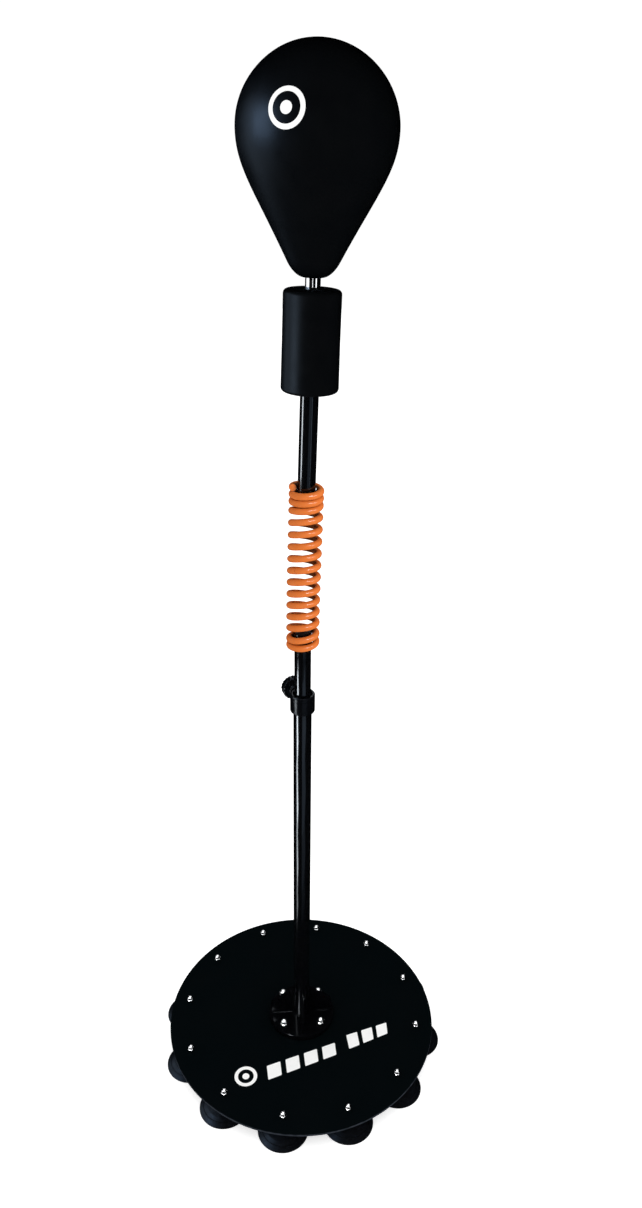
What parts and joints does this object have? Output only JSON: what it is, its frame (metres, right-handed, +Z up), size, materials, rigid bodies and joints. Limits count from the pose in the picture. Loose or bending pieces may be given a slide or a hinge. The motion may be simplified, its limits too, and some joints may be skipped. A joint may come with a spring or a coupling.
{
  "type": "reflex speed bag",
  "caption": "Free-standing reflex speed bag: teardrop foam ball and foam pad on a telescoping sprung mast, bolted to a round steel base on suction cups.",
  "frame": {"origin": "on the floor, under the centre of the round base plate", "axes": "+Z up along the mast, -Y towards the front, +X to the right seen from the front"},
  "size_m": [0.5012, 0.5012, 1.5887],
  "materials": {
    "plate_coat": "satin",
    "cup_rubber": "matte",
    "nut_chrome": "polished",
    "zinc_steel": "satin",
    "mast_coat": "gloss",
    "black_plastic": "satin",
    "tip_brass": "satin",
    "spring_coat": "gloss",
    "post_chrome": "polished",
    "foam_skin": "satin"
  },
  "bodies": {
    "base": {"base_plate": "plate_coat", "suction_cup_01": "cup_rubber", "suction_cup_02": "cup_rubber", "suction_cup_03": "cup_rubber", "suction_cup_04": "cup_rubber", "suction_cup_05": "cup_rubber", "suction_cup_06": "cup_rubber", "suction_cup_07": "cup_rubber", "suction_cup_08": "cup_rubber", "suction_cup_09": "cup_rubber", "suction_cup_10": "cup_rubber", "suction_cup_11": "cup_rubber", "suction_cup_12": "cup_rubber", "rim_nut_01": "nut_chrome", "rim_nut_02": "nut_chrome", "rim_nut_03": "nut_chrome", "rim_nut_04": "nut_chrome", "rim_nut_05": "nut_chrome", "rim_nut_06": "nut_chrome", "rim_nut_07": "nut_chrome", "rim_nut_08": "nut_chrome", "rim_nut_09": "nut_chrome", "rim_nut_10": "nut_chrome", "rim_nut_11": "nut_chrome", "rim_nut_12": "nut_chrome", "foot_flange": "mast_coat", "flange_bolt_1": "zinc_steel", "flange_bolt_2": "zinc_steel", "flange_bolt_3": "zinc_steel", "flange_bolt_4": "zinc_steel", "flange_nut_1": "nut_chrome", "flange_nut_2": "nut_chrome", "flange_nut_3": "nut_chrome", "flange_nut_4": "nut_chrome", "lower_tube": "mast_coat", "clamp_collar": "black_plastic"},
    "mast": {"inner_tube": "mast_coat", "inner_tube_bush": "black_plastic", "tube_plug_lower": "black_plastic", "spring_seat_lower": "mast_coat", "spring_bottom": "spring_coat"},
    "spring_mid": {"spring_middle": "spring_coat"},
    "head": {"spring_top": "spring_coat", "spring_seat_upper": "mast_coat", "tube_plug_upper": "black_plastic", "upper_tube": "mast_coat", "foam_pad": "foam_skin", "chrome_post": "post_chrome", "ball_socket": "black_plastic", "ball": "foam_skin"},
    "lock_tip": {"lock_tip": "tip_brass"},
    "lock_knob": {"lock_knob": "black_plastic"}
  },
  "joints": [
    {"name": "height_slide", "type": "slide", "parent": "base", "child": "mast", "axis": [0, 0, 1], "range_m": [-0.075, 0.2]},
    {"name": "bend_sideways", "type": "hinge", "parent": "mast", "child": "spring_mid", "pos_m": [0, 0, 0.8622], "axis": [0, 1, 0], "range_deg": [-45, 45], "stiffness_Nm_per_rad": 70, "deforming": ["spring_bottom", "spring_middle"]},
    {"name": "bend_fore_aft", "type": "hinge", "parent": "spring_mid", "child": "head", "pos_m": [0.00309, 0, 0.98876], "axis": [1, 0, 0], "range_deg": [-45, 45], "stiffness_Nm_per_rad": 70, "deforming": ["spring_top"]},
    {"name": "lock_screw_travel", "type": "slide", "parent": "base", "child": "lock_tip", "axis": [-0.309, 0.9511, 0], "range_m": [0, 0.0025]},
    {"name": "lock_knob_turn", "type": "hinge", "parent": "lock_tip", "child": "lock_knob", "pos_m": [0, 0, 0.7015], "axis": [-0.309, 0.9511, 0], "range_deg": [0, 720]}
  ],
  "couplings": [
    {"joint": "lock_knob_turn", "follows": "lock_screw_travel", "rad_per_m": 5026.5}
  ]
}
